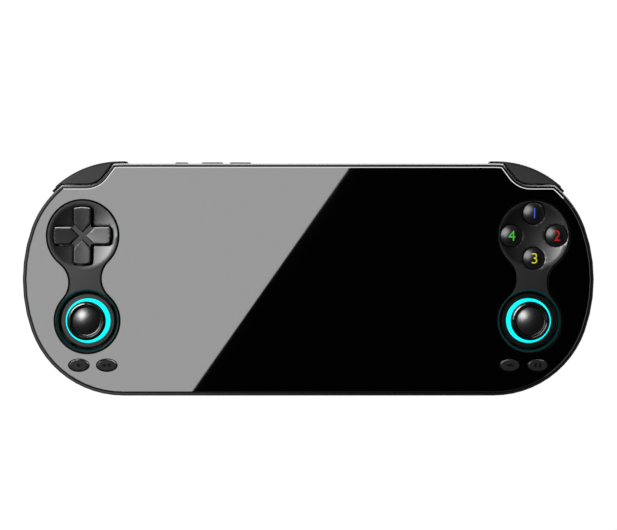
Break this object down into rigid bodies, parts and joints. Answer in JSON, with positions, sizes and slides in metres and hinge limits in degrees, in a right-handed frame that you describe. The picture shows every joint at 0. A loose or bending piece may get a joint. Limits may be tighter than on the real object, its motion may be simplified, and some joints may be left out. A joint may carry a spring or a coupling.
{
  "type": "handheld game console",
  "caption": "Wide handheld game console with rounded ends, a full black glass front, a cross key, four face keys, two lit thumb sticks and shoulder keys.",
  "frame": {"origin": "middle of the object on the surface that its back rests on", "axes": "+Z out of the screen, +Y towards the top edge with the shoulder keys, +X to the right"},
  "size_m": [0.188, 0.0775, 0.017],
  "materials": {
    "case_plastic": "fine moulded texture, satin",
    "front_glass": "black glass, polished",
    "bezel_plastic": "smooth moulded, satin",
    "key_plastic": "moulded, semi-gloss",
    "cross_plastic": "moulded, satin",
    "shoulder_plastic": "moulded, satin",
    "stick_rubber": "moulded grip",
    "stick_plastic": "acetal",
    "light_diffuser": "lit diffuser",
    "trim_plastic": "satin",
    "contact_rubber": "silicone",
    "steel": "plated sheet",
    "screw_steel": "blackened",
    "circuit_board": "solder mask on glass epoxy",
    "screen": "liquid crystal panel",
    "lead_film": "polyimide film",
    "battery_foil": "foil pouch",
    "socket_plastic": "moulded"
  },
  "bodies": {
    "case": {"front_shell": "case_plastic", "rear_shell": "case_plastic", "front_glass": "front_glass", "left_control_bezel": "bezel_plastic", "right_control_bezel": "bezel_plastic", "case_screws": "screw_steel", "screen_panel": "screen", "screen_tray": "steel", "screen_lead": "lead_film", "main_board": "circuit_board", "shield_can": "steel", "charging_socket": "steel", "headphone_jack": "socket_plastic", "card_socket": "steel", "battery": "battery_foil", "left_button_board": "circuit_board", "right_button_board": "circuit_board", "left_ribbon": "lead_film", "right_ribbon": "lead_film", "left_speaker": "socket_plastic", "right_speaker": "socket_plastic", "cross_key_rubber": "contact_rubber", "face_key_rubber": "contact_rubber", "oval_key_rubbers": "contact_rubber", "left_stick_base": "stick_plastic", "left_light_ring": "light_diffuser", "left_trim_ring": "trim_plastic", "right_stick_base": "stick_plastic", "right_light_ring": "light_diffuser", "right_trim_ring": "trim_plastic", "stick_springs": "steel", "shoulder_pins": "steel", "left_shoulder_board": "circuit_board", "right_shoulder_board": "circuit_board", "shoulder_switches": "steel", "top_key_board": "circuit_board", "top_key_switches": "steel"},
    "cross_pivot": {"cross_pivot_ball": "steel"},
    "cross_key": {"cross_key": "cross_plastic"},
    "face_key_top": {"face_key_top": "key_plastic"},
    "face_key_right": {"face_key_right": "key_plastic"},
    "face_key_bottom": {"face_key_bottom": "key_plastic"},
    "face_key_left": {"face_key_left": "key_plastic"},
    "left_outer_oval_key": {"left_outer_oval_key": "key_plastic"},
    "left_inner_oval_key": {"left_inner_oval_key": "key_plastic"},
    "right_inner_oval_key": {"right_inner_oval_key": "key_plastic"},
    "right_outer_oval_key": {"right_outer_oval_key": "key_plastic"},
    "left_stick_yoke": {"left_stick_yoke": "stick_plastic"},
    "left_stick": {"left_stick_stem": "stick_plastic", "left_stick_cap": "stick_rubber"},
    "right_stick_yoke": {"right_stick_yoke": "stick_plastic"},
    "right_stick": {"right_stick_stem": "stick_plastic", "right_stick_cap": "stick_rubber"},
    "left_shoulder_key": {"left_shoulder_key": "shoulder_plastic"},
    "left_trigger": {"left_trigger": "key_plastic"},
    "right_shoulder_key": {"right_shoulder_key": "shoulder_plastic"},
    "right_trigger": {"right_trigger": "key_plastic"},
    "power_key": {"power_key": "key_plastic"},
    "volume_down_key": {"volume_down_key": "key_plastic"},
    "volume_up_key": {"volume_up_key": "key_plastic"}
  },
  "joints": [
    {"name": "cross_key_up_down", "type": "hinge", "parent": "case", "child": "cross_pivot", "pos_m": [-0.07415, 0.01385, 0.0088], "axis": [1, 0, 0], "range_deg": [-3.5, 3.5], "stiffness_Nm_per_rad": 0.005, "deforming": ["cross_key_rubber"]},
    {"name": "cross_key_left_right", "type": "hinge", "parent": "cross_pivot", "child": "cross_key", "pos_m": [-0.07415, 0.01385, 0.0088], "axis": [0, 1, 0], "range_deg": [-3.5, 3.5], "stiffness_Nm_per_rad": 0.005, "deforming": ["cross_key_rubber"]},
    {"name": "face_key_top_press", "type": "slide", "parent": "case", "child": "face_key_top", "axis": [0, 0, -1], "range_m": [0, 0.0012], "stiffness_N_per_m": 60, "springref_m": -0.002, "deforming": ["face_key_rubber"]},
    {"name": "face_key_right_press", "type": "slide", "parent": "case", "child": "face_key_right", "axis": [0, 0, -1], "range_m": [0, 0.0012], "stiffness_N_per_m": 60, "springref_m": -0.002, "deforming": ["face_key_rubber"]},
    {"name": "face_key_bottom_press", "type": "slide", "parent": "case", "child": "face_key_bottom", "axis": [0, 0, -1], "range_m": [0, 0.0012], "stiffness_N_per_m": 60, "springref_m": -0.002, "deforming": ["face_key_rubber"]},
    {"name": "face_key_left_press", "type": "slide", "parent": "case", "child": "face_key_left", "axis": [0, 0, -1], "range_m": [0, 0.0012], "stiffness_N_per_m": 60, "springref_m": -0.002, "deforming": ["face_key_rubber"]},
    {"name": "left_outer_oval_key_press", "type": "slide", "parent": "case", "child": "left_outer_oval_key", "axis": [0, 0, -1], "range_m": [0, 0.0008], "stiffness_N_per_m": 60, "springref_m": -0.002, "deforming": ["oval_key_rubbers"]},
    {"name": "left_inner_oval_key_press", "type": "slide", "parent": "case", "child": "left_inner_oval_key", "axis": [0, 0, -1], "range_m": [0, 0.0008], "stiffness_N_per_m": 60, "springref_m": -0.002, "deforming": ["oval_key_rubbers"]},
    {"name": "right_inner_oval_key_press", "type": "slide", "parent": "case", "child": "right_inner_oval_key", "axis": [0, 0, -1], "range_m": [0, 0.0008], "stiffness_N_per_m": 60, "springref_m": -0.002, "deforming": ["oval_key_rubbers"]},
    {"name": "right_outer_oval_key_press", "type": "slide", "parent": "case", "child": "right_outer_oval_key", "axis": [0, 0, -1], "range_m": [0, 0.0008], "stiffness_N_per_m": 60, "springref_m": -0.002, "deforming": ["oval_key_rubbers"]},
    {"name": "left_stick_up_down", "type": "hinge", "parent": "case", "child": "left_stick_yoke", "pos_m": [-0.0727, -0.0141, 0.0074], "axis": [1, 0, 0], "range_deg": [-13, 13], "stiffness_Nm_per_rad": 0.003},
    {"name": "left_stick_left_right", "type": "hinge", "parent": "left_stick_yoke", "child": "left_stick", "pos_m": [-0.0727, -0.0141, 0.0074], "axis": [0, 1, 0], "range_deg": [-13, 13], "stiffness_Nm_per_rad": 0.003},
    {"name": "right_stick_up_down", "type": "hinge", "parent": "case", "child": "right_stick_yoke", "pos_m": [0.0727, -0.0141, 0.0074], "axis": [1, 0, 0], "range_deg": [-13, 13], "stiffness_Nm_per_rad": 0.003},
    {"name": "right_stick_left_right", "type": "hinge", "parent": "right_stick_yoke", "child": "right_stick", "pos_m": [0.0727, -0.0141, 0.0074], "axis": [0, 1, 0], "range_deg": [-13, 13], "stiffness_Nm_per_rad": 0.003},
    {"name": "left_shoulder_key_press", "type": "hinge", "parent": "case", "child": "left_shoulder_key", "pos_m": [-0.06392, 0.03093, 0.0102], "axis": [0, 0, 1], "range_deg": [0, 1.4], "stiffness_Nm_per_rad": 0.006, "springref_deg": -11.46},
    {"name": "left_trigger_press", "type": "hinge", "parent": "case", "child": "left_trigger", "pos_m": [-0.06392, 0.03093, 0.0078], "axis": [0, 0, 1], "range_deg": [0, 1.4], "stiffness_Nm_per_rad": 0.006, "springref_deg": -11.46},
    {"name": "right_shoulder_key_press", "type": "hinge", "parent": "case", "child": "right_shoulder_key", "pos_m": [0.06392, 0.03093, 0.0102], "axis": [0, 0, -1], "range_deg": [0, 1.4], "stiffness_Nm_per_rad": 0.006, "springref_deg": -11.46},
    {"name": "right_trigger_press", "type": "hinge", "parent": "case", "child": "right_trigger", "pos_m": [0.06392, 0.03093, 0.0078], "axis": [0, 0, -1], "range_deg": [0, 1.4], "stiffness_Nm_per_rad": 0.006, "springref_deg": -11.46},
    {"name": "power_key_press", "type": "slide", "parent": "case", "child": "power_key", "axis": [0, -1, 0], "range_m": [0, 0.0004], "stiffness_N_per_m": 60, "springref_m": -0.002},
    {"name": "volume_down_key_press", "type": "slide", "parent": "case", "child": "volume_down_key", "axis": [0, -1, 0], "range_m": [0, 0.0004], "stiffness_N_per_m": 60, "springref_m": -0.002},
    {"name": "volume_up_key_press", "type": "slide", "parent": "case", "child": "volume_up_key", "axis": [0, -1, 0], "range_m": [0, 0.0004], "stiffness_N_per_m": 60, "springref_m": -0.002}
  ]
}
